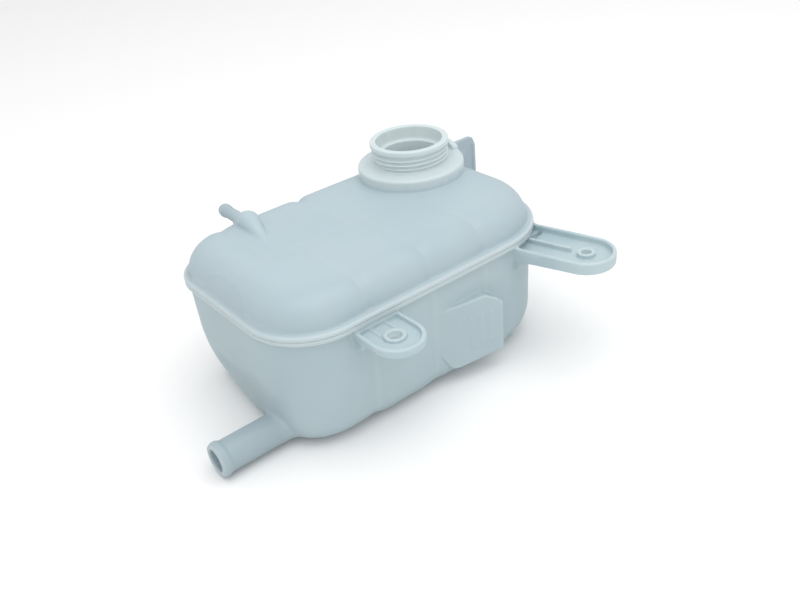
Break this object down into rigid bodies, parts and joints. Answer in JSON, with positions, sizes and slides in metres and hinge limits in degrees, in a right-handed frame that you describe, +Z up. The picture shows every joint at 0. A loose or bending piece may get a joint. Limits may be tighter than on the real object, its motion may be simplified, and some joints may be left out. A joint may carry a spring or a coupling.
{
  "type": "coolant expansion tank",
  "caption": "Translucent plastic coolant expansion tank, two welded shells with an open threaded filler neck, hose spigot, vent nipple, mounting arm, lug and tab.",
  "frame": {"origin": "middle of the flat underside that the tank rests on, below the middle of the seam flange", "axes": "+X along the tank, away from the hose spigot; +Y across it, away from the mounting lug and arm; +Z up through the filler neck"},
  "size_m": [0.2738, 0.1975, 0.1262],
  "materials": {
    "shell_lower": "natural translucent polypropylene, satin",
    "shell_upper": "natural translucent polypropylene, satin"
  },
  "bodies": {
    "root": {"lower_shell": "shell_lower", "upper_shell": "shell_upper"}
  },
  "joints": []
}
